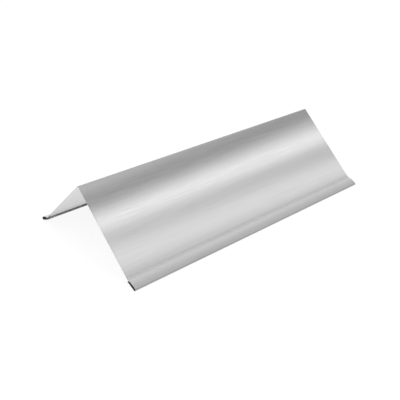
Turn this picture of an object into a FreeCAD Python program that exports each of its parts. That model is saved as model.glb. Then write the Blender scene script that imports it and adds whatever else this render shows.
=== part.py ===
import FreeCAD, Part

import enum
import math
import os

import Sketcher

# Roof ridge cap: one coated steel sheet, folded along the ridge, with a lip kicked out along the foot of
# each wing and an open hem folded back under each lip.
#
# Frame: X runs along the ridge, Y across it and Z up. The origin is under the middle of the cap, on the
# level that it stands on, so the noses of the two hems touch Z = 0. Sizes are in millimetres and degrees.

NODE = "ridge_cap_sheet"

# Driving sizes: name, value, meaning. A flat is the straight run between two bends, a slope is measured
# down from the horizontal, and a radius is on the inside of its bend.
SIZES = [
    ("cap_length", 430.0, "length along the ridge"),
    ("sheet_thickness", 0.5, "thickness of the coated sheet"),
    ("crown_radius", 1.0, "bend along the ridge"),
    ("wing_slope", 41.75, "slope of each wing"),
    ("wing_flat", 130.0, "flat width of each wing"),
    ("kick_radius", 4.0, "bend where the wing kicks out into the lip"),
    ("lip_root_slope", 13.0, "slope of the lip beside the wing"),
    ("lip_root_flat", 3.7, "flat width of the lip beside the wing"),
    ("shoulder_radius", 30.0, "slow bend across the middle of the lip"),
    ("lip_edge_slope", 27.5, "slope of the lip beside the nose"),
    ("lip_edge_flat", 3.4, "flat width of the lip beside the nose"),
    ("hem_gap", 3.7, "clear gap inside the open hem, at its nose"),
    ("hem_slope", 24.0, "slope of the hem under the lip"),
    ("hem_flat", 14.0, "flat width of the hem under the lip"),
]

# The folds of one wing, from the ridge outwards: a bend, then the flat that follows it. A bend over the
# sheet turns it up, and a bend under the sheet turns it down. A heading is the direction of the flat, where
# 0 is straight outwards, so the hem has turned by more than half a circle.
FOLDS = [
    {"bend": "crown", "radius": "Sizes.crown_radius", "over": False,
     "flat": "wing", "width": "Sizes.wing_flat", "heading": "0 - Sizes.wing_slope"},
    {"bend": "kick", "radius": "Sizes.kick_radius", "over": True,
     "flat": "lip_root", "width": "Sizes.lip_root_flat", "heading": "0 - Sizes.lip_root_slope"},
    {"bend": "shoulder", "radius": "Sizes.shoulder_radius", "over": False,
     "flat": "lip_edge", "width": "Sizes.lip_edge_flat", "heading": "0 - Sizes.lip_edge_slope"},
    {"bend": "nose", "radius": "Sizes.hem_gap / 2", "over": False,
     "flat": "hem", "width": "Sizes.hem_flat", "heading": "0 - 180 - Sizes.hem_slope"},
]

THICKNESS = "Sizes.sheet_thickness"


class Spot(enum.IntEnum):
    """A sketch's numbers for the places on a curve."""

    START = 1
    END = 2
    CENTRE = 3


class Datum(enum.IntEnum):
    """A sketch's numbers for its own origin and its upright axis."""

    ORIGIN = -1
    UPRIGHT_AXIS = -2


def add_sizes(doc):
    """The spreadsheet of driving sizes, one row each: name, value, meaning."""
    sheet = doc.addObject("Spreadsheet::Sheet", "Sizes")
    for row, (name, value, meaning) in enumerate(SIZES, start=1):
        sheet.set(f"A{row}", name)
        sheet.set(f"B{row}", str(value))
        sheet.set(f"C{row}", meaning)
        sheet.setAlias(f"B{row}", name)
    doc.recompute()
    return sheet


def along(heading):
    """Unit vector of a heading in the plane of the section."""
    return FreeCAD.Vector(math.cos(heading), math.sin(heading), 0)


def bend_radius(fold, on_top):
    """A bend's radius on one face of the sheet: the inside radius, with the sheet added on the outside."""
    return fold["radius"] if fold["over"] == on_top else f"{fold['radius']} + {THICKNESS}"


def draw_face(sketch, sheet, on_top):
    """Draw one face of the folded sheet, the top face or the underside, from the ridge out to the hem's edge.

    It is a walk of arcs and lines, each tangent to the last, that starts level at the ridge. This is only a
    first drawing, because the constraints hold every curve. Returns the sketch numbers of arcs and lines.
    """
    facing = FreeCAD.Vector(0, 0, 1)
    quarter_turn = math.pi / 2
    place = FreeCAD.Vector(0, sheet.evalExpression(THICKNESS) if on_top else 0, 0)
    heading = 0.0
    arcs, lines = [], []
    for fold in FOLDS:
        radius = sheet.evalExpression(bend_radius(fold, on_top))
        turned = math.radians(sheet.evalExpression(fold["heading"]))
        to_centre = quarter_turn if fold["over"] else -quarter_turn
        centre = place + along(heading + to_centre) * radius
        circle = Part.Circle(centre, facing, radius)
        sweep = sorted([heading - to_centre, turned - to_centre])
        arcs.append(sketch.addGeometry(Part.ArcOfCircle(circle, *sweep)))
        flat_start = centre - along(turned + to_centre) * radius
        place = flat_start + along(turned) * sheet.evalExpression(fold["width"])
        lines.append(sketch.addGeometry(Part.LineSegment(flat_start, place)))
        heading = turned
    return arcs, lines


def bind(sketch, name, constraint, expression):
    """Add a named constraint to the sketch and tie its value to an expression on the sizes."""
    number = sketch.addConstraint(constraint)
    sketch.renameConstraint(number, name)
    sketch.setExpression(f"Constraints.{name}", expression)


def join_face(sketch, sheet, arcs, lines, face_name, on_top):
    """Join one face's arcs and lines tangentially, and give its bends their radii."""
    for number, fold in enumerate(FOLDS):
        inlet, outlet = (Spot.START, Spot.END) if fold["over"] else (Spot.END, Spot.START)
        if number > 0:
            flat_to_bend = Sketcher.Constraint("Tangent", lines[number - 1], Spot.END, arcs[number], inlet)
            sketch.addConstraint(flat_to_bend)
        bend_to_flat = Sketcher.Constraint("Tangent", arcs[number], outlet, lines[number], Spot.START)
        sketch.addConstraint(bend_to_flat)
        radius = bend_radius(fold, on_top)
        constraint = Sketcher.Constraint("Radius", arcs[number], sheet.evalExpression(radius))
        bind(sketch, f"{face_name}_{fold['bend']}_radius", constraint, radius)


def draw_section(sketch, sheet):
    """Half of the sheet's section, from the ridge line to the edge of the hem, as one closed outline.

    The top face sets each flat's slope and width. The underside shares the top face's bend centres, which
    keeps the two faces one sheet's thickness apart all the way.
    """
    top_arcs, top_lines = draw_face(sketch, sheet, on_top=True)
    under_arcs, under_lines = draw_face(sketch, sheet, on_top=False)

    def line_between(first, second):
        first_end = sketch.getPoint(first, Spot.END)
        second_end = sketch.getPoint(second, Spot.END)
        return sketch.addGeometry(Part.LineSegment(first_end, second_end))

    ridge_cut = line_between(under_arcs[0], top_arcs[0])
    hem_edge = line_between(top_lines[-1], under_lines[-1])

    join_face(sketch, sheet, top_arcs, top_lines, "top", on_top=True)
    join_face(sketch, sheet, under_arcs, under_lines, "under", on_top=False)
    for top_arc, under_arc in zip(top_arcs, under_arcs):
        sketch.addConstraint(Sketcher.Constraint("Coincident", top_arc, Spot.CENTRE, under_arc, Spot.CENTRE))
    for fold, line in zip(FOLDS, top_lines):
        heading = Sketcher.Constraint("Angle", line, math.radians(sheet.evalExpression(fold["heading"])))
        bind(sketch, f"{fold['flat']}_heading", heading, fold["heading"])
        width = Sketcher.Constraint("Distance", line, sheet.evalExpression(fold["width"]))
        bind(sketch, f"{fold['flat']}_width", width, fold["width"])

    for curve, position in ((top_arcs[0], Spot.END), (top_arcs[0], Spot.CENTRE), (under_arcs[0], Spot.END)):
        sketch.addConstraint(Sketcher.Constraint("PointOnObject", curve, position, Datum.UPRIGHT_AXIS))
    sketch.addConstraint(Sketcher.Constraint("Coincident", ridge_cut, Spot.START, under_arcs[0], Spot.END))
    sketch.addConstraint(Sketcher.Constraint("Coincident", ridge_cut, Spot.END, top_arcs[0], Spot.END))
    sketch.addConstraint(Sketcher.Constraint("Coincident", hem_edge, Spot.START, top_lines[-1], Spot.END))
    sketch.addConstraint(Sketcher.Constraint("Coincident", hem_edge, Spot.END, under_lines[-1], Spot.END))
    sketch.addConstraint(Sketcher.Constraint("Perpendicular", hem_edge, top_lines[-1]))
    sketch.addConstraint(Sketcher.Constraint("Parallel", top_lines[-1], under_lines[-1]))

    nose_height = bend_radius(FOLDS[-1], on_top=True)
    nose = (top_arcs[-1], Spot.CENTRE)
    height = Sketcher.Constraint(
        "DistanceY", Datum.ORIGIN, Spot.START, *nose, sheet.evalExpression(nose_height)
    )
    bind(sketch, "nose_height", height, nose_height)


def origin_plane(body, role):
    """One of the body's own origin planes."""
    return next(plane for plane in body.Origin.OriginFeatures if plane.Role == role)


def make_ridge_cap(doc, sheet):
    """The cap: half a section along the ridge, then the other wing mirrored across the ridge."""
    body = doc.addObject("PartDesign::Body", "RidgeCap")
    body.Label = NODE
    section = body.newObject("Sketcher::SketchObject", "WingSection")
    section.AttachmentSupport = (origin_plane(body, "YZ_Plane"), [""])
    section.MapMode = "FlatFace"
    draw_section(section, sheet)
    doc.recompute()

    wing = body.newObject("PartDesign::Pad", "Wing")
    wing.Profile = section
    wing.SideType = "Symmetric"
    wing.setExpression("Length", "Sizes.cap_length")
    doc.recompute()

    both_wings = body.newObject("PartDesign::Mirrored", "BothWings")
    both_wings.Originals = [wing]
    both_wings.MirrorPlane = (origin_plane(body, "XZ_Plane"), [""])
    body.Tip = both_wings
    doc.recompute()
    return body


def check(doc, bodies):
    """Stop if any object failed to compute, or if a body isn't one valid solid."""
    for item in doc.Objects:
        if "Invalid" in item.State or "Error" in item.State:
            raise RuntimeError(f"{item.Label} did not compute: {item.State}")
    for body in bodies:
        shape = body.Shape
        if shape.isNull() or not shape.isValid() or len(shape.Solids) != 1:
            raise RuntimeError(f"{body.Label} is not one valid solid")


def write_parts(bodies):
    """Write each body to its own STEP file, named by its label."""
    os.makedirs("parts", exist_ok=True)
    for body in bodies:
        body.Shape.exportStep(f"parts/{body.Label}.step")


def main():
    doc = FreeCAD.newDocument("RoofRidgeCap")
    sheet = add_sizes(doc)
    bodies = [make_ridge_cap(doc, sheet)]
    check(doc, bodies)
    write_parts(bodies)
    for body in bodies:
        box = body.Shape.BoundBox
        print(body.Label, "volume", round(body.Shape.Volume), "mm3, faces", len(body.Shape.Faces))
        print("box", [round(size, 3) for size in (box.XLength, box.YLength, box.ZLength, box.ZMin)])


main()
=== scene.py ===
"""A folded steel roof ridge cap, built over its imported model, and the small studio that it is shown in.

X runs along the ridge, Y across it and Z up. The origin is on the floor, under the middle of the cap.
Lengths are in metres, except where a name or a comment says millimetres.
"""

import math

import bpy
import numpy as np
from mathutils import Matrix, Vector


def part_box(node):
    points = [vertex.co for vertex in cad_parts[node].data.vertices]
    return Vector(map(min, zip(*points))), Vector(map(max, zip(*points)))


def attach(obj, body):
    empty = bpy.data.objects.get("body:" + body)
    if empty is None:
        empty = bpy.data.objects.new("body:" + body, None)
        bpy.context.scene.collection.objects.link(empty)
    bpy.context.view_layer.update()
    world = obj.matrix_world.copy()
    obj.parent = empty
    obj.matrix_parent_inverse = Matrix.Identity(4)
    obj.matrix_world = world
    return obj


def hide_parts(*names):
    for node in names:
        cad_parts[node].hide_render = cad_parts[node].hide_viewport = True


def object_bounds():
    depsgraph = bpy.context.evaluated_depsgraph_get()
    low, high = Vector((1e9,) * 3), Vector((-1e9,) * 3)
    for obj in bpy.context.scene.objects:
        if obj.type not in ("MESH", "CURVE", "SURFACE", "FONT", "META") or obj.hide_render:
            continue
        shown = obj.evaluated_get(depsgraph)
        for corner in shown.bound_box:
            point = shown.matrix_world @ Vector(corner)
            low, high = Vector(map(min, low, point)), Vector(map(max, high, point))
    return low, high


bl_info = {
    "name": "Roof ridge cap",
    "version": (1, 0, 0),
    "blender": (4, 5, 0),
    "location": "View3D > Sidebar > Ridge cap",
    "description": "Builds a folded sheet-steel roof ridge cap and a small studio around it",
    "category": "Add Mesh",
}

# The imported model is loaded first, so that the sizes below can start from it.
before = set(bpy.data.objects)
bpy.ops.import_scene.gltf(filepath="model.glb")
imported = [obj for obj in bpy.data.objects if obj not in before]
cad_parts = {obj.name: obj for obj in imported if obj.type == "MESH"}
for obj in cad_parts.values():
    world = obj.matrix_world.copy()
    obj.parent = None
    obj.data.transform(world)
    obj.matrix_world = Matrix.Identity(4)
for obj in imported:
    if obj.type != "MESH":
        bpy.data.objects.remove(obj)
CAD_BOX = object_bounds()

NODE = "ridge_cap_sheet"
PIECE = "ridge_cap_sheet_finished"
SHEET_UV = "sheet_flat"

SHEET_LOW, SHEET_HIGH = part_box(NODE)
CAP_LENGTH = SHEET_HIGH.x - SHEET_LOW.x

# The mesh's materials, in the order in which it holds them.
WEATHER, BACKING, CUT = range(3)

# The slight waves that rolling leaves in the wings. Each row: share of the wave height, metres from wave to
# wave across the wing, the same along the ridge, and the shift on each wing in parts of a wave.
WAVES = (
    (1.0, 0.047, 1.9, 0.3),
    (0.6, 0.029, -1.1, 0.1),
    (0.8, 0.35, 0.31, 0.2),
)

# Soft noise seldom leaves this span.
NOISE_LOW = 0.3
NOISE_HIGH = 0.7


def millimetres(name, description, value):
    """A length property, whose default is given in millimetres."""
    return bpy.props.FloatProperty(
        name=name, description=description, default=value / 1000,
        unit="LENGTH", subtype="DISTANCE", precision=5,
    )


def span(name, description, upper, lower):
    """A card's two edges, in millimetres down the wing from over the ridge. Below 0 is past the ridge."""
    return bpy.props.FloatVectorProperty(
        name=name, description=description, default=(upper / 1000, lower / 1000),
        unit="LENGTH", size=2, precision=5,
    )


def point(name, description, value):
    """A point, given in metres."""
    return bpy.props.FloatVectorProperty(
        name=name, description=description, default=value, subtype="TRANSLATION", size=3, precision=4
    )


def degrees(name, description, value):
    """An angle property, whose default is given in degrees."""
    return bpy.props.FloatProperty(
        name=name, description=description, default=math.radians(value), unit="ROTATION", subtype="ANGLE"
    )


def share(name, description, value):
    """A number from 0 to 1."""
    return bpy.props.FloatProperty(
        name=name, description=description, default=value, min=0, max=1, precision=3
    )


def number(name, description, value, unit="NONE"):
    """A number of any size."""
    return bpy.props.FloatProperty(name=name, description=description, default=value, unit=unit, precision=3)


def tone(name, description, value):
    """A neutral colour of one brightness."""
    return bpy.props.FloatVectorProperty(
        name=name, description=description, default=(value, value, value),
        subtype="COLOR", size=3, min=0, max=1,
    )


class RidgeCapSheet(bpy.types.PropertyGroup):
    """Sizes of the folded sheet.

    A flat is the straight run between two bends, and a radius is on the inside of its bend.
    """

    cap_length: bpy.props.FloatProperty(
        name="Cap length", description="Length along the ridge", default=CAP_LENGTH,
        unit="LENGTH", subtype="DISTANCE",
    )
    sheet_thickness: millimetres("Sheet thickness", "Thickness of the coated sheet", 0.5)
    crown_radius: millimetres("Crown radius", "Bend along the ridge", 1.0)
    wing_slope: degrees("Wing slope", "Slope of each wing below the horizontal", 41.75)
    wing_flat: millimetres("Wing flat", "Flat width of each wing", 130.0)
    kick_radius: millimetres("Kick radius", "Bend where the wing kicks out into the lip", 4.0)
    lip_root_slope: degrees("Lip root slope", "Slope of the lip beside the wing", 13.0)
    lip_root_flat: millimetres("Lip root flat", "Flat width of the lip beside the wing", 3.7)
    shoulder_radius: millimetres("Shoulder radius", "Slow bend across the middle of the lip", 30.0)
    lip_edge_slope: degrees("Lip edge slope", "Slope of the lip beside the nose", 27.5)
    lip_edge_flat: millimetres("Lip edge flat", "Flat width of the lip beside the nose", 3.4)
    hem_gap: millimetres("Hem gap", "Clear gap inside the open hem, at its nose", 3.7)
    hem_slope: degrees("Hem slope", "Slope of the hem under the lip", 24.0)
    hem_flat: millimetres("Hem flat", "Flat width of the hem under the lip", 14.0)
    edge_rounding: millimetres("Edge rounding", "Rounding of the sheet's cut edges", 0.08)
    flat_step: millimetres("Flat step", "Longest mesh step across a flat", 2.6)
    bend_step: degrees("Bend step", "Largest turn from one mesh row to the next", 4.0)
    length_step: millimetres("Length step", "Mesh step along the ridge", 4.0)
    wave_height: millimetres("Wave height", "Height of the slight waves in the wings", 0.01)


class RidgeCapFinish(bpy.types.PropertyGroup):
    """Colours and gloss of the sheet's two sides and its cut edges, with painted shade and a painted
    highlight along the bends and at the hems.
    """

    top_tone: tone("Top tone", "Metal colour of the weather side", 0.74)
    top_streaks: share("Top streaks", "Part by which roller streaks vary the weather side's colour", 0.015)
    top_roughness: share("Top roughness", "Roughness of the weather side", 0.18)
    gloss_streaks: share("Gloss streaks", "How much the roller streaks vary the roughness", 0.02)
    back_tone: tone("Back tone", "Metal colour of the inner side", 0.74)
    back_streaks: share("Back streaks", "Part by which roller streaks vary the inner side's colour", 0.02)
    back_roughness: share("Back roughness", "Roughness of the inner side", 0.35)
    # crown_shade_share: painted shade, a darker line painted along the crown bend.
    crown_shade_share: share("Crown share", "Share of the metal's colour that is left on the crown bend", 0.92)
    # kick_shade_share: painted shade, a darker line painted along the kick. kick_shade_fade also sets where
    # the painted shade on the cut edges round the hems begins.
    kick_shade_share: share("Kick share", "Share of the metal's colour that is left along the kick", 0.86)
    # lip_highlight_share is a painted highlight on the lip's root, and nose_shade_share is painted shade that
    # darkens the lip towards the nose.
    lip_highlight_share: number("Lip share", "Colour of the lip's root against the wing's", 1.075)
    nose_shade_share: share("Nose share", "Share of the metal's colour that is left on the nose", 0.82)
    lip_roughness: share("Lip roughness", "Roughness of the metal on the lip", 0.35)
    # crown_shade_fade and kick_shade_fade: widths of the painted shade lines along the crown and the kick.
    crown_shade_fade: millimetres("Crown fade", "Width over which the crown's darker line fades", 5.0)
    kick_shade_fade: millimetres("Kick fade", "Width over which the kick's darker line fades", 4.0)
    # foot_shade_share: painted shade that darkens the inner side towards the hem.
    foot_shade_share: share("Foot share", "Share of the inner side's colour that is left beside the hem", 0.86)
    hem_tone: tone("Hem tone", "Colour of the dust deep inside the hems", 0.95)
    # hem_end_shade_tone and hem_end_shade_depth: painted shade, near black inside the hems beside their open
    # ends.
    hem_end_shade_tone: tone("Hem end tone", "Colour of the dirt inside the hems beside their open ends", 0.08)
    hem_end_shade_depth: millimetres("Hem end depth", "How far the dirt reaches in from the open ends", 3.0)
    hem_roughness: share("Hem roughness", "Roughness inside the hem", 0.6)
    hem_metallic: share("Hem metallic", "How much metal shows through the dust inside the hem", 0.25)
    # dust_and_shade_fade: width over which the inner side turns to the hems' colour, which is pale dust deep
    # inside and painted shade beside the open ends.
    dust_and_shade_fade: millimetres("Dust fade", "Width over which the inner side darkens before the hem", 6.0)
    edge_tone: tone("Edge tone", "Metal colour of the cut edges", 0.5)
    edge_streaks: share("Edge streaks", "Part by which the shear's scratches vary the edges' colour", 0.15)
    # hem_edge_shade_tone: painted shade that darkens the cut edges round the hems.
    hem_edge_shade_tone: tone("Hem edge tone", "Colour of the cut edges round the hems", 0.20)
    edge_roughness: share("Edge roughness", "Roughness of the cut edges", 0.4)


class RidgeCapStage(bpy.types.PropertyGroup):
    """The studio: camera, floor, room, soft lamp and the cards that only the metal reflects."""

    lens: number("Lens", "Focal length of the camera in millimetres, on a 36 mm wide sensor", 55.12, "CAMERA")
    camera_heading: degrees("Camera heading", "Compass turn of the camera from straight along Y", 40.856)
    camera_pitch: degrees("Camera pitch", "How far the camera looks down", 28.319)
    camera_place: point("Camera place", "Where the camera stands", (-0.5438, -0.6128, 0.4437))
    floor_size: millimetres("Floor size", "Width of the floor", 12000.0)
    floor_tone: tone("Floor tone", "Colour of the floor where it lights the object", 0.8)
    shadow_tone: tone("Shadow tone", "Colour that takes the shadow where the floor is looked at", 0.3)
    floor_glow: share("Floor glow", "Glow that keeps the floor white where it is looked at", 0.8)
    world_level: share("World level", "Brightness of the room that lights the object", 0.8)
    key_power: number("Key power", "Power of the soft lamp overhead, in watts", 2.0, "POWER")
    key_size: millimetres("Key size", "Width of the soft lamp", 1200.0)
    key_place: point("Key place", "Where the soft lamp hangs", (0.2, -0.3, 1.6))
    key_target: point("Key target", "What the soft lamp faces", (0.0, 0.0, 0.05))
    card_height: millimetres("Card height", "How far the first card hangs off the wings", 300.0)
    card_gap: millimetres("Card gap", "How much nearer to the wing each further card hangs", 1.0)
    card_length: millimetres("Card length", "Length of the grey cards along the ridge", 8000.0)
    strip_length: millimetres("Strip length", "Length of the lit strips, the flag and the table card", 2000.0)
    far_reach: millimetres("Far reach", "How far the far card reaches past the ridge", 1200.0)
    ridge_reach: millimetres("Ridge reach", "How far the ridge card reaches past the ridge", 240.0)
    foot_reach: millimetres("Foot reach", "How far the foot cards reach down from the ridge", 600.0)
    back_foot_reach: millimetres("Back foot reach", "The same for the middle one over the back wing", 350.0)
    flag_near: span("Flag near end", "Edges of the dark flag at its near end", -43.8, 3.6)
    flag_far: span("Flag far end", "Edges of the dark flag at its far end", -131.9, -89.1)
    upper_near: span("Upper strip near end", "Edges of the upper lit strip at its near end", -39.4, -0.7)
    upper_far: span("Upper strip far end", "Edges of the upper lit strip at its far end", -40.4, -14.5)
    lower_near: span("Lower strip near end", "Edges of the lower lit strip at its near end", 13.8, 62.3)
    lower_far: span("Lower strip far end", "Edges of the lower lit strip at its far end", 44.4, 92.9)
    table_gap: millimetres("Table card gap", "Gap between the front nose and the table card", 0.3)
    table_reach: millimetres("Table card reach", "How far the table card reaches from the front nose", 700.0)
    table_height: millimetres("Table card height", "Height of the table card over the floor", 0.5)
    far_level: number("Far card level", "Brightness of the card beyond the ridge", 0.79)
    ridge_level: number("Ridge card level", "Brightness of the card over the ridge", 0.71)
    foot_level: number("Foot card level", "Brightness of the card over the wing's foot", 0.57)
    table_level: number("Table card level", "Brightness of the card that lies before the nose", 0.55)
    flag_level: number("Dark flag level", "Brightness of the dark flag below the ridge", 0.29)
    upper_strip_level: number("Upper strip level", "Brightness of the upper lit strip", 1.37)
    lower_strip_level: number("Lower strip level", "Brightness of the lower lit strip", 1.01)


def folds(sizes):
    """The folds of one wing's weather face, from the ridge outwards, each a bend and the flat after it.

    Each row: radius of the bend, +1 where the sheet turns up, slope of the flat, width of the flat. The
    hem's slope has turned by more than half a circle.
    """
    thickness = sizes.sheet_thickness
    return (
        (sizes.crown_radius + thickness, -1, -sizes.wing_slope, sizes.wing_flat),
        (sizes.kick_radius, 1, -sizes.lip_root_slope, sizes.lip_root_flat),
        (sizes.shoulder_radius + thickness, -1, -sizes.lip_edge_slope, sizes.lip_edge_flat),
        (sizes.hem_gap / 2 + thickness, -1, -math.pi - sizes.hem_slope, sizes.hem_flat),
    )


def walk_wing(sizes):
    """The weather face of one wing, from the ridge to the edge of the hem, as arrays.

    The path starts level at the ridge and alternates a bend with a flat. On a bend of radius r about a
    centre c, the point at heading a is c plus or minus r times the normal of a. On a flat the point moves
    by the heading's own unit vector. Returns the points (Y outwards, Z up, ridge top at 0, 0), the headings
    and the distance along the unfolded sheet.
    """
    points = [np.zeros((1, 2))]
    headings = [np.zeros(1)]
    heading = 0.0
    for radius, turn, slope, width in folds(sizes):
        count = max(2, math.ceil(abs(slope - heading) / sizes.bend_step))
        angles = np.linspace(heading, slope, count + 1)[1:]
        start = points[-1][-1]
        centre = start + turn * radius * np.array([-math.sin(heading), math.cos(heading)])
        normals = np.column_stack([-np.sin(angles), np.cos(angles)])
        points.append(centre - turn * radius * normals)
        headings.append(angles)
        heading = slope
        count = max(2, math.ceil(width / sizes.flat_step))
        steps = np.linspace(0, width, count + 1)[1:]
        along = np.array([math.cos(heading), math.sin(heading)])
        points.append(points[-1][-1] + steps[:, None] * along)
        headings.append(np.full(count, heading))
    points = np.concatenate(points)
    headings = np.concatenate(headings)
    distance = np.concatenate([[0], np.cumsum(np.linalg.norm(np.diff(points, axis=0), axis=1))])
    return points, headings, distance


def bend_places(sizes):
    """Where the crown, kick, shoulder and nose bends start and end, as distances along the weather face.

    A bend is as long as its radius times its turn, and a flat as long as its width.
    """
    places = []
    start = 0.0
    heading = 0.0
    for radius, _, slope, width in folds(sizes):
        end = start + radius * abs(slope - heading)
        places.append((start, end))
        start = end + width
        heading = slope
    return places


def both_wings(sizes):
    """The weather face from one hem's edge over the ridge to the other hem's edge.

    It is one wing's path mirrored across the ridge and reversed, then the same path again. Returns points,
    normals and signed distance from the ridge.
    """
    points, headings, distance = walk_wing(sizes)
    normals = np.column_stack([-np.sin(headings), np.cos(headings)])
    mirror = np.array([-1.0, 1.0])
    points = np.concatenate([points[:0:-1] * mirror, points])
    normals = np.concatenate([normals[:0:-1] * mirror, normals])
    distance = np.concatenate([-distance[:0:-1], distance])
    return points, normals, distance


def rolling_waves(x, s, sizes):
    """Height of the slight waves in the wings: a sum of sines of x and s, in the sheet's unfolded plane.

    The narrow waves run nearly along the ridge, and a broad one crosses them. All fade to nothing at the
    ridge and at the kick, where the folds hold the sheet straight.
    """
    across = np.clip(np.abs(s) / sizes.wing_flat, 0, 1)
    fade = np.sin(math.pi * across) ** 0.5
    side = np.sign(s)
    heights = sum(
        part * np.sin(2 * math.pi * (s / across_wing + x / along_ridge + shift * side))
        for part, across_wing, along_ridge, shift in WAVES
    )
    return sizes.wave_height * fade * heights


def sheet_mesh(sizes):
    """The folded sheet as one closed mesh.

    A point of the weather face is (x, P(s)) + h(x, s) N(s): P is the section's path, N its normal and h the
    slight waves. The inner face is the same point, moved by the sheet's thickness against N. The two faces
    close round both hem edges, and a strip of quads closes each end. At the ends the two faces draw in by
    the edge rounding, which takes the sharpness off the cut. The whole is raised until its noses touch the
    floor.

    Returns the vertices, the quads, each quad's material number and each vertex's place on the flat sheet.
    """
    points, normals, s = both_wings(sizes)
    half = sizes.cap_length / 2
    count = math.ceil(sizes.cap_length / sizes.length_step)
    inner = np.linspace(-half + sizes.edge_rounding, half - sizes.edge_rounding, count + 1)
    x = np.concatenate([[-half], inner, [half]])
    draw_in = np.zeros(len(x))
    draw_in[[0, -1]] = sizes.edge_rounding
    rows = len(x)
    columns = len(s)

    xs, ss = np.meshgrid(x, s, indexing="ij")
    waves = rolling_waves(xs, ss, sizes)[..., None]
    path = np.broadcast_to(points, (rows, columns, 2))
    outward = np.broadcast_to(normals, (rows, columns, 2))
    inset = draw_in[:, None, None]
    top = path + outward * (waves - inset)
    back = path + outward * (waves - sizes.sheet_thickness + inset)
    lift = -top[..., 1].min()
    ring = np.concatenate([top, back[:, ::-1]], axis=1)
    around = 2 * columns
    vertices = np.empty((rows, around, 3))
    vertices[..., 0] = x[:, None]
    vertices[..., 1] = ring[..., 0]
    vertices[..., 2] = ring[..., 1] + lift

    number_of = np.arange(rows * around).reshape(rows, around)
    following = np.roll(number_of, -1, axis=1)
    sides = np.stack([number_of[:-1], number_of[1:], following[1:], following[:-1]], axis=-1).reshape(-1, 4)
    column = np.arange(columns - 1)
    near_strip = np.column_stack([column, column + 1, around - 2 - column, around - 1 - column])
    far_strip = near_strip[:, ::-1] + (rows - 1) * around
    faces = np.concatenate([sides, near_strip, far_strip])

    ring_slots = np.full(around, WEATHER)
    ring_slots[columns:] = BACKING
    ring_slots[[columns - 1, around - 1]] = CUT
    side_slots = np.tile(ring_slots, (rows - 1, 1))
    side_slots[[0, -1]] = CUT
    slots = np.concatenate([side_slots.reshape(-1), np.full(2 * (columns - 1), CUT)])

    uv = np.empty((rows, around, 2))
    uv[..., 0] = x[:, None]
    uv[..., 1] = np.concatenate([s, s[::-1]])
    return vertices.reshape(-1, 3), faces, slots, uv.reshape(-1, 2)


def add_mesh(name, vertices, faces, slots, uv, materials):
    """A Blender object from whole arrays of vertices, quads, material numbers and sheet coordinates."""
    mesh = bpy.data.meshes.new(name)
    mesh.from_pydata(vertices.tolist(), [], faces.tolist())
    mesh.update()
    for material in materials:
        mesh.materials.append(material)
    mesh.polygons.foreach_set("material_index", slots.astype(np.int32))
    mesh.polygons.foreach_set("use_smooth", np.ones(len(faces), dtype=bool))
    layer = mesh.uv_layers.new(name=SHEET_UV)
    corners = np.empty(len(mesh.loops), dtype=np.int32)
    mesh.loops.foreach_get("vertex_index", corners)
    layer.data.foreach_set("uv", uv[corners].astype(np.float32).ravel())
    mark_cut_edges(mesh)
    piece = bpy.data.objects.new(name, mesh)
    bpy.context.scene.collection.objects.link(piece)
    return piece


def mark_cut_edges(mesh):
    """Mark as sharp each edge where a cut face meets a coated face, so that only the bends shade softly."""
    slots = np.empty(len(mesh.polygons), dtype=np.int32)
    mesh.polygons.foreach_get("material_index", slots)
    edges = np.empty(len(mesh.loops), dtype=np.int32)
    mesh.loops.foreach_get("edge_index", edges)
    corner_counts = np.empty(len(mesh.polygons), dtype=np.int32)
    mesh.polygons.foreach_get("loop_total", corner_counts)
    slot_of_corner = np.repeat(slots, corner_counts)
    low = np.full(len(mesh.edges), len(mesh.materials))
    high = np.full(len(mesh.edges), -1)
    np.minimum.at(low, edges, slot_of_corner)
    np.maximum.at(high, edges, slot_of_corner)
    sharp = mesh.attributes.new("sharp_edge", "BOOLEAN", "EDGE")
    sharp.data.foreach_set("value", low != high)


class NodeTree:
    """A short way to add and link the nodes of a material or a world."""

    def __init__(self, owner):
        owner.use_nodes = True
        self.tree = owner.node_tree
        self.tree.nodes.clear()

    def add(self, kind, settings=None, values=None):
        """A node of one kind, with its settings and its sockets' own values."""
        node = self.tree.nodes.new(kind)
        for name, value in (settings or {}).items():
            setattr(node, name, value)
        for name, value in (values or {}).items():
            node.inputs[name].default_value = value
        return node

    def link(self, source, target):
        """Lead one node's output to another's input."""
        self.tree.links.new(source, target)


def grey(level):
    """A neutral colour, as a socket holds it."""
    return (level, level, level, 1.0)


def streaks(nodes, along, across, detail):
    """Soft noise on the unfolded sheet, by its patches per metre along and across. Its value is near 0.5."""
    place = nodes.add("ShaderNodeUVMap", {"uv_map": SHEET_UV})
    stretch = nodes.add("ShaderNodeMapping", values={"Scale": (along, across, 1.0)})
    noise = nodes.add("ShaderNodeTexNoise", values={"Scale": 1.0, "Detail": detail})
    nodes.link(place.outputs["UV"], stretch.inputs["Vector"])
    nodes.link(stretch.outputs["Vector"], noise.inputs["Vector"])
    return noise.outputs["Fac"]


def spread(nodes, noise, middle, reach):
    """Map soft noise onto a range around a middle value, and hold it there."""
    spreader = nodes.add("ShaderNodeMapRange", values={
        "From Min": NOISE_LOW,
        "From Max": NOISE_HIGH,
        "To Min": middle - reach,
        "To Max": middle + reach,
    })
    nodes.link(noise, spreader.inputs["Value"])
    return spreader.outputs["Result"]


def on_sheet(nodes):
    """Two unsigned distances on the unfolded sheet: from its middle along the ridge, and from the ridge."""
    place = nodes.add("ShaderNodeUVMap", {"uv_map": SHEET_UV})
    parts = nodes.add("ShaderNodeSeparateXYZ")
    nodes.link(place.outputs["UV"], parts.inputs["Vector"])
    distances = []
    for name in "XY":
        unsigned = nodes.add("ShaderNodeMath", {"operation": "ABSOLUTE"})
        nodes.link(parts.outputs[name], unsigned.inputs[0])
        distances.append(unsigned.outputs[0])
    return distances


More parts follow.
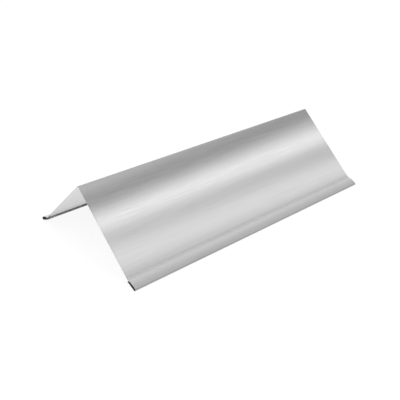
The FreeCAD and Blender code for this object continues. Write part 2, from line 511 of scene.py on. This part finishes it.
def ramp(nodes, factor, start, end, low=0.0, high=1.0):
    """A smooth step from one value at the start to another at the end, and level beyond."""
    step = nodes.add(
        "ShaderNodeMapRange", {"interpolation_type": "SMOOTHSTEP"},
        {"From Min": start, "From Max": end, "To Min": low, "To Max": high},
    )
    nodes.link(factor, step.inputs["Value"])
    return step.outputs["Result"]


def product(nodes, first, second):
    """Two values multiplied."""
    times = nodes.add("ShaderNodeMath", {"operation": "MULTIPLY"})
    nodes.link(first, times.inputs[0])
    nodes.link(second, times.inputs[1])
    return times.outputs[0]


def shade_along_bend(nodes, distance, bend, fade, kept):
    """Painted shade along a bend: what is kept of a colour there, rising to all of it over a short way on
    each side.
    """
    start, end = bend
    before = ramp(nodes, distance, start - fade, start)
    after = ramp(nodes, distance, end, end + fade, 1.0, 0.0)
    return ramp(nodes, product(nodes, before, after), 0.0, 1.0, 1.0, kept)


def mix_tone(nodes, factor, first, second):
    """A neutral colour between two levels or colours, by a factor."""
    tones = nodes.add("ShaderNodeMix", {"data_type": "RGBA"})
    for colour, name in ((first, "A"), (second, "B")):
        if isinstance(colour, float):
            tones.inputs[name].default_value = grey(colour)
        else:
            nodes.link(colour, tones.inputs[name])
    nodes.link(factor, tones.inputs["Factor"])
    return tones.outputs["Result"]


def weather_side(sizes, finish):
    """Satin rolled steel with faint roller streaks.

    Painted shade darkens a line along the crown and along the kick. The lip is duller, and its colour has a
    painted highlight at its root and painted shade that darkens it towards the nose.
    """
    material = bpy.data.materials.new("weather_side")
    nodes = NodeTree(material)
    out = nodes.add("ShaderNodeOutputMaterial")
    metal = nodes.add("ShaderNodeBsdfPrincipled", values={"Metallic": 1.0})
    level = finish.top_tone[0]
    crown, kick, shoulder, nose = bend_places(sizes)
    _, distance = on_sheet(nodes)
    roller = streaks(nodes, along=6.0, across=220.0, detail=3.0)
    colour = spread(nodes, roller, level, level * finish.top_streaks)
    # Shares of the colour: painted shade on the crown and the kick, a painted highlight on the lip's root,
    # and painted shade towards the nose.
    painted_light_shares = (
        shade_along_bend(nodes, distance, crown, finish.crown_shade_fade, finish.crown_shade_share),
        shade_along_bend(nodes, distance, (kick[0], kick[0]), finish.kick_shade_fade, finish.kick_shade_share),
        ramp(nodes, distance, kick[0], kick[1], 1.0, finish.lip_highlight_share),
        ramp(nodes, distance, shoulder[0], nose[0], 1.0, finish.nose_shade_share / finish.lip_highlight_share),
    )
    for kept in painted_light_shares:
        colour = product(nodes, colour, kept)
    nodes.link(colour, metal.inputs["Base Color"])
    fine_roller = streaks(nodes, along=20.0, across=500.0, detail=2.0)
    gloss = spread(nodes, fine_roller, finish.top_roughness, finish.gloss_streaks)
    dull = ramp(nodes, distance, kick[1], shoulder[0], 0.0, finish.lip_roughness - finish.top_roughness)
    roughness = nodes.add("ShaderNodeMath", {"operation": "ADD"})
    nodes.link(gloss, roughness.inputs[0])
    nodes.link(dull, roughness.inputs[1])
    nodes.link(roughness.outputs[0], metal.inputs["Roughness"])
    nodes.link(metal.outputs["BSDF"], out.inputs["Surface"])
    return material


def backing_side(sizes, finish):
    """The sheet's inner side: duller metal with faint streaks.

    Painted shade darkens it towards the hems. Inside the hems it is dusty, and beside the hems' open ends
    painted shade makes it near black.
    """
    material = bpy.data.materials.new("backing_side")
    nodes = NodeTree(material)
    out = nodes.add("ShaderNodeOutputMaterial")
    coat = nodes.add("ShaderNodeBsdfPrincipled")
    level = finish.back_tone[0]
    kick_start, kick_end = bend_places(sizes)[1]
    along, distance = on_sheet(nodes)
    roller = streaks(nodes, along=8.0, across=120.0, detail=3.0)
    colour = mix_tone(nodes, roller, level * (1 - finish.back_streaks), level * (1 + finish.back_streaks))
    # Painted shade: the inner side darkens towards the hem.
    shade_towards_hem = ramp(nodes, distance, 0.0, kick_start)
    colour = mix_tone(nodes, shade_towards_hem, colour, level * finish.foot_shade_share)
    # Deep inside the hems a pale dust colour; beside their open ends, painted shade that is near black.
    inside = ramp(nodes, distance, kick_start - finish.dust_and_shade_fade, kick_end)
    end = sizes.cap_length / 2 - finish.hem_end_shade_depth
    dust_and_end_shade = ramp(nodes, along, end - finish.hem_end_shade_depth, end, finish.hem_tone[0], finish.hem_end_shade_tone[0])
    roughness = ramp(nodes, inside, 0.0, 1.0, finish.back_roughness, finish.hem_roughness)
    metallic = ramp(nodes, inside, 0.0, 1.0, 1.0, finish.hem_metallic)
    nodes.link(mix_tone(nodes, inside, colour, dust_and_end_shade), coat.inputs["Base Color"])
    nodes.link(roughness, coat.inputs["Roughness"])
    nodes.link(metallic, coat.inputs["Metallic"])
    nodes.link(coat.outputs["BSDF"], out.inputs["Surface"])
    return material


def cut_side(sizes, finish):
    """Bare steel of the sheared edges, with the shear's fine scratches. Round the hems painted shade darkens
    them.
    """
    material = bpy.data.materials.new("cut_side")
    nodes = NodeTree(material)
    out = nodes.add("ShaderNodeOutputMaterial")
    values = {"Metallic": 1.0, "Roughness": finish.edge_roughness}
    metal = nodes.add("ShaderNodeBsdfPrincipled", values=values)
    level = finish.edge_tone[0]
    kick_end = bend_places(sizes)[1][1]
    _, distance = on_sheet(nodes)
    scratches = streaks(nodes, along=600.0, across=900.0, detail=2.0)
    colour = spread(nodes, scratches, level, level * finish.edge_streaks)
    # Painted shade on the cut edges round the hems.
    hem = ramp(nodes, distance, kick_end - finish.kick_shade_fade, kick_end, 1.0, finish.hem_edge_shade_tone[0] / level)
    nodes.link(product(nodes, colour, hem), metal.inputs["Base Color"])
    nodes.link(metal.outputs["BSDF"], out.inputs["Surface"])
    return material


class RIDGECAP_OT_fold_sheet(bpy.types.Operator):
    """Fold the sheet: ridge, wings, lips and hems in one piece, with its finishes"""

    bl_idname = "ridgecap.fold_sheet"
    bl_label = "Fold the sheet"

    def execute(self, context):
        sizes = context.scene.ridgecap_sheet
        finish = context.scene.ridgecap_finish
        vertices, faces, slots, uv = sheet_mesh(sizes)
        materials = [weather_side(sizes, finish), backing_side(sizes, finish), cut_side(sizes, finish)]
        piece = add_mesh(PIECE, vertices, faces, slots, uv, materials)
        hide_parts(NODE)
        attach(piece, "root")
        return {"FINISHED"}


def camera_turn(stage):
    """Camera rotation from its heading and pitch: look along the heading, then down by the pitch."""
    heading = stage.camera_heading
    pitch = stage.camera_pitch
    forward = Vector((
        math.sin(heading) * math.cos(pitch),
        math.cos(heading) * math.cos(pitch),
        -math.sin(pitch),
    ))
    return forward.to_track_quat("-Z", "Y")


def add_camera(stage):
    """The camera at the photograph's place, with no shift and no depth of field."""
    data = bpy.data.cameras.new("camera")
    data.lens = stage.lens
    data.sensor_width = 36.0
    data.clip_start = 0.01
    data.clip_end = 100.0
    camera = bpy.data.objects.new("camera", data)
    camera.location = stage.camera_place
    camera.rotation_mode = "QUATERNION"
    camera.rotation_quaternion = camera_turn(stage)
    bpy.context.scene.collection.objects.link(camera)
    bpy.context.scene.camera = camera


def seen_directly(nodes):
    """1 for camera, glossy and transmission rays, and 0 for the rest."""
    path = nodes.add("ShaderNodeLightPath")
    either = nodes.add("ShaderNodeMath", {"operation": "MAXIMUM"})
    any_of = nodes.add("ShaderNodeMath", {"operation": "MAXIMUM"})
    nodes.link(path.outputs["Is Camera Ray"], either.inputs[0])
    nodes.link(path.outputs["Is Glossy Ray"], either.inputs[1])
    nodes.link(either.outputs[0], any_of.inputs[0])
    nodes.link(path.outputs["Is Transmission Ray"], any_of.inputs[1])
    return any_of.outputs[0]


def add_world(stage):
    """A white room to look at, which lights the object at a plain level."""
    world = bpy.data.worlds.new("room")
    bpy.context.scene.world = world
    nodes = NodeTree(world)
    out = nodes.add("ShaderNodeOutputWorld")
    lighting = nodes.add("ShaderNodeBackground", values={"Color": grey(1.0), "Strength": stage.world_level})
    backdrop = nodes.add("ShaderNodeBackground", values={"Color": grey(1.0), "Strength": 1.0})
    choose = nodes.add("ShaderNodeMixShader")
    nodes.link(seen_directly(nodes), choose.inputs["Fac"])
    nodes.link(lighting.outputs[0], choose.inputs[1])
    nodes.link(backdrop.outputs[0], choose.inputs[2])
    nodes.link(choose.outputs[0], out.inputs["Surface"])


def add_floor(stage):
    """A plain pale floor: white where it is seen, less the object's soft shadow."""
    half = stage.floor_size / 2
    corners = [(-half, -half, 0), (half, -half, 0), (half, half, 0), (-half, half, 0)]
    mesh = bpy.data.meshes.new("floor")
    mesh.from_pydata(corners, [], [(0, 1, 2, 3)])
    material = bpy.data.materials.new("floor_paper")
    nodes = NodeTree(material)
    out = nodes.add("ShaderNodeOutputMaterial")
    paper = nodes.add("ShaderNodeBsdfDiffuse", values={"Color": grey(stage.floor_tone[0])})
    shaded = nodes.add("ShaderNodeBsdfDiffuse", values={"Color": grey(stage.shadow_tone[0])})
    glow = nodes.add("ShaderNodeEmission", values={"Color": grey(1.0), "Strength": stage.floor_glow})
    both = nodes.add("ShaderNodeAddShader")
    choose = nodes.add("ShaderNodeMixShader")
    nodes.link(shaded.outputs[0], both.inputs[0])
    nodes.link(glow.outputs[0], both.inputs[1])
    nodes.link(seen_directly(nodes), choose.inputs["Fac"])
    nodes.link(paper.outputs[0], choose.inputs[1])
    nodes.link(both.outputs[0], choose.inputs[2])
    nodes.link(choose.outputs[0], out.inputs["Surface"])
    mesh.materials.append(material)
    floor = bpy.data.objects.new("floor", mesh)
    bpy.context.scene.collection.objects.link(floor)


def card_corner(sizes, side, x, down, above):
    """A point over one wing: x along the ridge, then down the wing from the ridge, then square off it."""
    slope = sizes.wing_slope
    ridge_height = CAD_BOX[1].z
    outwards = down * math.cos(slope) + above * math.sin(slope)
    height = ridge_height - down * math.sin(slope) + above * math.cos(slope)
    return (x, side * outwards, height)


def add_card(name, corners, level):
    """One flat card that is seen only in the metal: a plain glow that lights nothing."""
    mesh = bpy.data.meshes.new(name)
    mesh.from_pydata(corners, [], [(0, 1, 2, 3)])
    material = bpy.data.materials.new(name)
    nodes = NodeTree(material)
    out = nodes.add("ShaderNodeOutputMaterial")
    glow = nodes.add("ShaderNodeEmission", values={"Color": grey(1.0), "Strength": level})
    nodes.link(glow.outputs[0], out.inputs["Surface"])
    mesh.materials.append(material)
    card = bpy.data.objects.new(name, mesh)
    card.visible_camera = False
    card.visible_diffuse = False
    card.visible_shadow = False
    bpy.context.scene.collection.objects.link(card)


def hang_cards(sizes, stage):
    """The cards that the satin metal reflects over each wing: grey ones, a dark flag and two lit strips.

    Each further card hangs a little nearer to the wing, so that it covers those before it. The flag and the
    strips slant, so they have other edges at their far end.
    """
    reach = stage.card_length / 2
    half = stage.strip_length / 2
    whole = (-reach, reach)
    middle = (-half, half)
    past_ridge = (-stage.far_reach, 0.0)
    over_ridge = (-stage.ridge_reach, 0.0)
    foot = (0.0, stage.foot_reach)
    back_foot = (0.0, stage.back_foot_reach)
    for side, side_name, middle_foot in ((-1, "front", foot), (1, "back", back_foot)):
        # Each row: name, ends along the ridge, edges at the near end, edges at the far end, brightness.
        cards = (
            ("far_card", whole, past_ridge, past_ridge, stage.far_level),
            ("ridge_card", whole, over_ridge, over_ridge, stage.ridge_level),
            ("foot_card", middle, middle_foot, middle_foot, stage.foot_level),
            ("near_foot_card", (-reach, -half), foot, foot, stage.foot_level),
            ("far_foot_card", (half, reach), foot, foot, stage.foot_level),
            ("dark_flag", middle, stage.flag_near, stage.flag_far, stage.flag_level),
            ("upper_strip", middle, stage.upper_near, stage.upper_far, stage.upper_strip_level),
            ("lower_strip", middle, stage.lower_near, stage.lower_far, stage.lower_strip_level),
        )
        for order, (name, (near, far), near_edges, far_edges, level) in enumerate(cards):
            above = stage.card_height - order * stage.card_gap
            corners = [
                card_corner(sizes, side, near, near_edges[0], above),
                card_corner(sizes, side, near, near_edges[1], above),
                card_corner(sizes, side, far, far_edges[1], above),
                card_corner(sizes, side, far, far_edges[0], above),
            ]
            add_card(f"{side_name}_{name}", corners, level)


def lay_table_card(stage):
    """The grey card that lies on the floor before the front nose, and keeps the nose dark."""
    half = stage.strip_length / 2
    nose = CAD_BOX[0].y
    inner = nose - stage.table_gap
    outer = nose - stage.table_reach
    height = stage.table_height
    corners = [(-half, outer, height), (half, outer, height), (half, inner, height), (-half, inner, height)]
    add_card("table_card", corners, stage.table_level)


def add_key_lamp(stage):
    """A square soft lamp overhead that faces the object. Neither the camera nor the metal sees it."""
    data = bpy.data.lights.new("key_lamp", "AREA")
    data.shape = "SQUARE"
    data.size = stage.key_size
    data.energy = stage.key_power
    lamp = bpy.data.objects.new("key_lamp", data)
    lamp.location = stage.key_place
    lamp.rotation_mode = "QUATERNION"
    lamp.rotation_quaternion = (Vector(stage.key_target) - Vector(stage.key_place)).to_track_quat("-Z", "Y")
    lamp.visible_camera = False
    lamp.visible_glossy = False
    bpy.context.scene.collection.objects.link(lamp)


class RIDGECAP_OT_set_stage(bpy.types.Operator):
    """Set the stage: floor, room, reflected cards, soft lamp and camera"""

    bl_idname = "ridgecap.set_stage"
    bl_label = "Set the stage"

    def execute(self, context):
        stage = context.scene.ridgecap_stage
        add_floor(stage)
        add_world(stage)
        hang_cards(context.scene.ridgecap_sheet, stage)
        lay_table_card(stage)
        add_key_lamp(stage)
        add_camera(stage)
        context.scene.view_settings.view_transform = "Standard"
        return {"FINISHED"}


class RIDGECAP_PT_sidebar(bpy.types.Panel):
    """The buttons that build the ridge cap and its stage"""

    bl_idname = "RIDGECAP_PT_sidebar"
    bl_label = "Ridge cap"
    bl_space_type = "VIEW_3D"
    bl_region_type = "UI"
    bl_category = "Ridge cap"

    def draw(self, context):
        for operator in OPERATORS:
            self.layout.operator(operator.bl_idname)
        for setting, group in SETTINGS.items():
            for name in group.__annotations__:
                self.layout.prop(getattr(context.scene, setting), name)


SETTINGS = {
    "ridgecap_sheet": RidgeCapSheet,
    "ridgecap_finish": RidgeCapFinish,
    "ridgecap_stage": RidgeCapStage,
}
OPERATORS = (RIDGECAP_OT_fold_sheet, RIDGECAP_OT_set_stage)


def register():
    for group in SETTINGS.values():
        bpy.utils.register_class(group)
    for name, group in SETTINGS.items():
        setattr(bpy.types.Scene, name, bpy.props.PointerProperty(type=group))
    for operator in OPERATORS:
        bpy.utils.register_class(operator)
    bpy.utils.register_class(RIDGECAP_PT_sidebar)


def unregister():
    bpy.utils.unregister_class(RIDGECAP_PT_sidebar)
    for operator in reversed(OPERATORS):
        bpy.utils.unregister_class(operator)
    for name in SETTINGS:
        delattr(bpy.types.Scene, name)
    for group in SETTINGS.values():
        bpy.utils.unregister_class(group)


def main():
    register()
    bpy.ops.ridgecap.fold_sheet()
    bpy.ops.ridgecap.set_stage()


if __name__ == "__main__":
    main()
